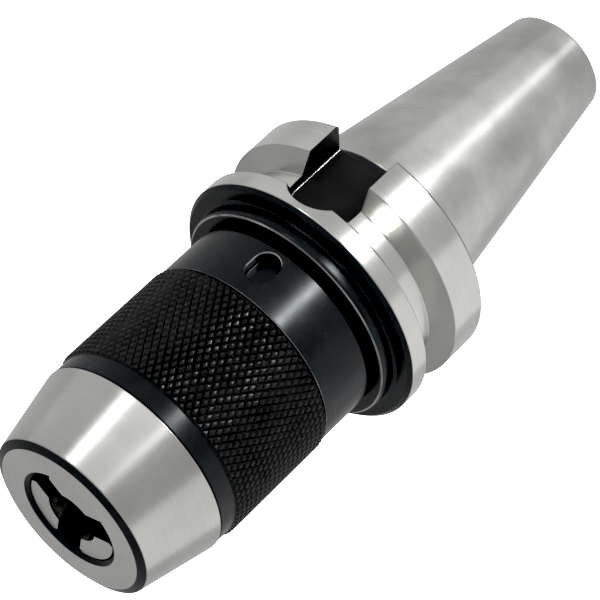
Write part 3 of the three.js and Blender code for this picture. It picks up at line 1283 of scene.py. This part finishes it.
@dataclass
class JawSet:
    """The three sliding jaws."""

    shape: JawShape
    edge: float = 0.22
    edge_over_deg: float = 35.0
    back_margin: float = 0.3
    level_over: float = 0.95

    def build(self) -> None:
        """Build and dress the jaws."""
        shape = self.shape
        jaw = shape.back(0.0, shape.bottom, shape.top)
        combine(jaw, [shape.wedge()], "INTERSECT")
        combine(jaw, [shape.lead_in()], "DIFFERENCE")
        inner, outer, into = shape.lug_inner, shape.lug_outer, shape.overlap
        neck = radial_bar(inner, outer, shape.neck_half, shape.foot_high - into, shape.bottom + into)
        foot = radial_bar(inner, outer, shape.foot_half, shape.foot_low, shape.foot_high)
        combine(jaw, [neck, foot], "UNION")
        jaw.name = "jaw_body"
        for i, piece in enumerate(turned_copies(jaw, shape.count, shape.turn)):
            piece.name = f"jaw_piece_{i + 1}"
            node, finishes = f"jaw_{i + 1}", (JAW_STEEL, JAW_SHADE)
            break_edges(piece, self.edge, self.edge_over_deg)
            finish_piece(piece, finishes, node, (node,), self.finish_at)

    def finish_at(self, centre: Vector, normal: Vector) -> Finish:
        """Return bright steel for the jaw's front end and back, or else dark steel as painted shade inside
        the mouth.
        """
        outside = math.hypot(centre.x, centre.y) > self.shape.back_r - self.back_margin
        on_back = outside and centre.z > self.shape.bottom
        return JAW_STEEL if on_back or normal.z >= self.level_over else JAW_SHADE


@dataclass
class DrawScrew:
    """Left-hand draw screw with its T-slotted head."""

    jaw: JawShape
    head_r: float = 14.8
    head_low: float = 66.4
    head_top: float = 76.1
    slot_inner: float = 4.1
    gap: float = 0.3
    r: float = 8.0
    low: float = 38.6
    lead: float = 5.0
    depth: float = 1.1
    flat: float = 0.35
    run_out: float = 3.0
    row_step: float = 0.5
    end_chamfer: Point = (1.2, 1.0)
    neck: float = 0.6
    edge: float = 0.5
    overshoot: Point = (2.0, 1.0)

    def build(self) -> None:
        """Build and dress the screw."""
        inset, rise = self.end_chamfer
        start, end = self.low + rise, self.head_low - self.neck
        points: list[Point] = [(0, self.low), (self.r - inset, self.low)]
        rows = int((end - start) / self.row_step)
        points += [(self.r, start + (end - start) * i / rows) for i in range(rows + 1)]
        points += softened(
            [
                (self.r, self.head_low), (self.head_r, self.head_low),
                (self.head_r, self.head_top), (0, self.head_top),
            ],
            self.edge, False,
        )
        thread = Thread(
            self.r, self.low, self.head_low - self.run_out, self.lead, self.r, self.depth,
            Hand.LEFT, self.flat,
        )
        screw = turned("t_slot_screw", points, False, AROUND_SCREW, thread.wave)
        out, up = self.overshoot
        jaw, gap, inner, outer = self.jaw, self.gap, self.slot_inner, self.head_r + out
        neck = radial_bar(inner, outer, jaw.neck_half + gap, jaw.foot_low, self.head_top + up)
        foot = radial_bar(inner, outer, jaw.foot_half + gap, jaw.foot_low - gap, jaw.foot_high + gap)
        combine(neck, [foot], "UNION")
        combine(screw, turned_copies(neck, jaw.count, jaw.turn), "DIFFERENCE")
        finish_piece(screw, (HARD,), Body.SCREW.value, ("draw_screw",))


@dataclass
class InnerRing:
    """A plain ring inside the sleeve, sized from its solid's box and its bore."""

    name: str
    node: str
    body: Body
    bore_r: float
    finish: Finish
    slot: Slot
    edge: float = 0.25

    def build(self) -> None:
        """Build and dress the ring."""
        low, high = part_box(self.node)
        r = high.x / MM
        bottom, top = low.z / MM, high.z / MM
        outline = [(self.bore_r, bottom), (r, bottom), (r, top), (self.bore_r, top)]
        ring = turned(self.name, softened(outline, self.edge, True), True, AROUND_SMALL)
        finish_piece(ring, (self.finish,), self.body.value, (self.node,))


@dataclass
class ThrustBearing:
    """Balls in their cage between two washers."""

    count: int = 12
    ball_r: float = 1.4
    pitch_r: float = 18.0
    centre_z: float = 46.5
    cage_inner: float = 15.9
    cage_outer: float = 20.05
    cage_half: float = 0.7
    pocket_r: float = 1.6
    pocket_sides: int = 32
    edge: float = 0.15

    def ball(self, number: int) -> None:
        """Build one ball.

        Args:
            number: Its place in the cage, from 1.
        """
        angle = 2 * math.pi * (number - 1) / self.count
        centre = Vector((*polar(self.pitch_r, angle), self.centre_z))
        made = bmesh.new()
        bmesh.ops.create_icosphere(made, subdivisions=4, radius=self.ball_r * MM)
        bmesh.ops.translate(made, verts=made.verts, vec=centre * MM)
        ball = as_object(f"ball_{number}", made)
        finish_piece(ball, (HARD,), Body.BEARING.value, (f"bearing_ball_{number}",))

    def cage(self) -> None:
        """Build the cage."""
        low, high = self.centre_z - self.cage_half, self.centre_z + self.cage_half
        inner, outer = self.cage_inner, self.cage_outer
        outline = [(inner, low), (outer, low), (outer, high), (inner, high)]
        ring = turned("ball_cage", softened(outline, self.edge, True), True, AROUND_SMALL)
        step = 2 * math.pi / self.pocket_sides
        circle = (polar(self.pocket_r, step * i) for i in range(self.pocket_sides))
        pocket = prism("pocket", [(x + self.pitch_r, y) for x, y in circle], low - 1, high + 1)
        combine(ring, turned_copies(pocket, self.count, 0), "DIFFERENCE")
        finish_piece(ring, (BRONZE,), Body.BEARING.value, ("bearing_cage",))

    def build(self) -> None:
        """Build and dress the bearing."""
        self.cage()
        for i in range(self.count):
            self.ball(i + 1)


@dataclass
class KeptSolid:
    """A solid whose shape is right already, and only needs its finish."""

    node: str
    finish: Finish
    edge: float = 0.15
    edge_over_deg: float = 40.0

    def dress(self) -> None:
        """Dress the solid and break its edges."""
        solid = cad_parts[self.node]
        if not solid.material_slots:
            solid.data.materials.append(self.finish.material())
        for place in solid.material_slots:
            place.material = self.finish.material()
        break_edges(solid, self.edge, self.edge_over_deg)
        LOG.info("%s: kept", self.node)


# ---- studio


@dataclass(frozen=True)
class Softbox:
    """A soft light aimed at the chuck from a direction round it."""

    name: str
    azimuth: float
    elevation: float
    distance: float
    width: float
    height: float
    radiance: float

    def place(self, aim: Vector) -> None:
        """Put the light in the scene.

        Args:
            aim: The point that it faces.
        """
        a, e = math.radians(self.azimuth), math.radians(self.elevation)
        out = Vector((math.cos(a) * math.cos(e), math.sin(a) * math.cos(e), math.sin(e)))
        lamp = bpy.data.lights.new(self.name, "AREA")
        lamp.shape = "RECTANGLE"
        lamp.size, lamp.size_y = self.width, self.height
        lamp.energy = self.radiance * self.width * self.height * math.pi
        light = bpy.data.objects.new(self.name, lamp)
        light.location = aim + out * self.distance
        light.rotation_mode = "QUATERNION"
        light.rotation_quaternion = out.to_track_quat("Z", "Y")
        light.visible_camera = False
        bpy.context.scene.collection.objects.link(light)


@dataclass
class Studio:
    """Floor, lights and camera."""

    azimuth: float = -28.2
    elevation: float = 27.92
    roll: float = -133.4
    distance: float = 0.6467
    lens: float = 176.6
    sensor: float = 36.0
    clip: Point = (0.01, 20.0)
    aim: Vector = field(default_factory=lambda: Vector((0.00515, 0.00921, 0.0199)))
    floor_drop: float = 1.0
    floor_reach: float = 5.0
    wall_height: float = 6.0
    floor_steps: int = 96
    black_point: float = 0.014
    light_aim: float = 0.017
    room: Sequence[Point] = (
        (-1.0, 0.5), (-0.72, 0.55), (-0.47, 0.59), (-0.2, 0.5),
        (-0.05, 0.4), (0.15, 0.42), (0.47, 0.5), (0.95, 0.48),
    )

    def camera(self) -> None:
        """Make the scene's camera."""
        a, e = math.radians(self.azimuth), math.radians(self.elevation)
        back = Vector((math.sin(a) * math.cos(e), -math.cos(a) * math.cos(e), math.sin(e)))
        level_up = (Vector((0, 0, 1)) - back * back.z).normalized()
        level_right = level_up.cross(back)
        turn = math.radians(self.roll)
        up = level_up * math.cos(turn) - level_right * math.sin(turn)
        right = up.cross(back)
        data = bpy.data.cameras.new("studio_camera")
        data.lens = self.lens
        data.sensor_width = self.sensor
        data.clip_start, data.clip_end = self.clip
        camera = bpy.data.objects.new("studio_camera", data)
        place = Matrix((right, up, back)).transposed().to_4x4()
        place.translation = self.aim + back * self.distance
        camera.matrix_world = place
        bpy.context.scene.collection.objects.link(camera)
        bpy.context.scene.camera = camera

    def floor(self, level: float) -> None:
        """Lay the pale floor, which sweeps up into a wall all round.

        Args:
            level: Height of the lowest piece, in metres.
        """
        reach, wall = self.floor_reach / MM, self.wall_height / MM
        bottom = level / MM - self.floor_drop / MM
        sharp = [(0, bottom), (reach, bottom), (reach, bottom + wall)]
        floor = turned("floor", softened(sharp, reach / 3, False), False, self.floor_steps)
        floor.data.materials.append(FLOOR.material())
        for face in floor.data.polygons:
            face.use_smooth = True
        floor.visible_glossy = False
        floor.visible_shadow = False
        floor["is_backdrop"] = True

    def lights(self) -> None:
        """Hang the softboxes and set the room's even fill."""
        world = bpy.data.worlds.new("studio_room")
        world.use_nodes = True
        to = Wiring(world.node_tree)
        split = to.add("SeparateXYZ", {0: to.add("TexCoord", {}).outputs["Generated"]})
        rise = to.add("MapRange", {"From Min": -1.0, "Value": split.outputs["Z"]})
        stops = [((height + 1) / 2, (level, level, level)) for height, level in self.room]
        to.feed(world.node_tree.nodes["Background"], {"Color": to.ramp(rise.outputs["Result"], stops)})
        bpy.context.scene.world = world
        boxes = (
            Softbox("key_strip", 241.8, -28.0, 0.7, 0.075, 0.19, 58.0),
            Softbox("taper_strip", 242.0, -52.0, 0.7, 0.11, 0.14, 0.95),
            Softbox("taper_sheet", 267.0, -47.0, 0.8, 0.60, 0.2, 0.33),
            Softbox("nose_line", 241.2, -2.0, 0.7, 0.08, 0.2, 2.6),
            Softbox("nose_sheet", 263.0, -1.0, 0.75, 0.55, 0.22, 0.75),
            Softbox("nose_strip", 287.0, 2.0, 0.7, 0.10, 0.3, 4.2),
            Softbox("left_sheet", 156.0, -12.0, 0.9, 1.2, 1.2, 0.38),
            Softbox("right_sheet", 328.0, -10.0, 0.9, 0.8, 0.7, 0.14),
        )
        for box in boxes:
            box.place(Vector((0, 0, self.light_aim)))

    def build(self, level: float) -> None:
        """Set up the whole studio.

        Args:
            level: Height of the lowest piece, in metres.
        """
        self.camera()
        self.floor(level)
        self.lights()
        view = bpy.context.scene.view_settings
        view.view_transform = "Standard"
        view.use_curve_mapping = True
        view.curve_mapping.black_level = [self.black_point] * 3
        view.curve_mapping.update()


def main() -> None:
    """Build the chuck piece by piece, then the studio."""
    logging.basicConfig(level=logging.INFO, format="%(name)s: %(message)s")
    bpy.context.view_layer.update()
    jaw = JawShape()
    TaperShank().build()
    RearSleeve().build()
    GripSleeve().build()
    NoseCone(jaw).build()
    JawSet(jaw).build()
    DrawScrew(jaw).build()
    ThrustBearing().build()
    rings = (
        InnerRing("screw_bush", "spindle_bush", Body.SHANK, 8.3, BRONZE, Slot.BRONZE, 0.5),
        InnerRing("gap_seal", "dust_seal", Body.SHANK, 15.8, RUBBER, Slot.RUBBER, 0.4),
        InnerRing("upper_washer", "bearing_upper_washer", Body.SHANK, 15.9, HARD, Slot.HARD),
        InnerRing("lower_washer", "bearing_lower_washer", Body.SLEEVE, 15.9, HARD, Slot.HARD),
        InnerRing("sleeve_guide", "guide_bush", Body.SLEEVE, 15.8, BRONZE, Slot.BRONZE),
        InnerRing("joining_tube", "spacer_tube", Body.SLEEVE, 20.7, BLACK, Slot.BLACK),
    )
    for ring in rings:
        ring.build()
    for node in ("bearing_lock_nut", "bush_screw", "lock_nut_screw"):
        KeptSolid(node, BLACK).dress()
    Studio().build(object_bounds()[0].z)


if __name__ == "__main__":
    main()
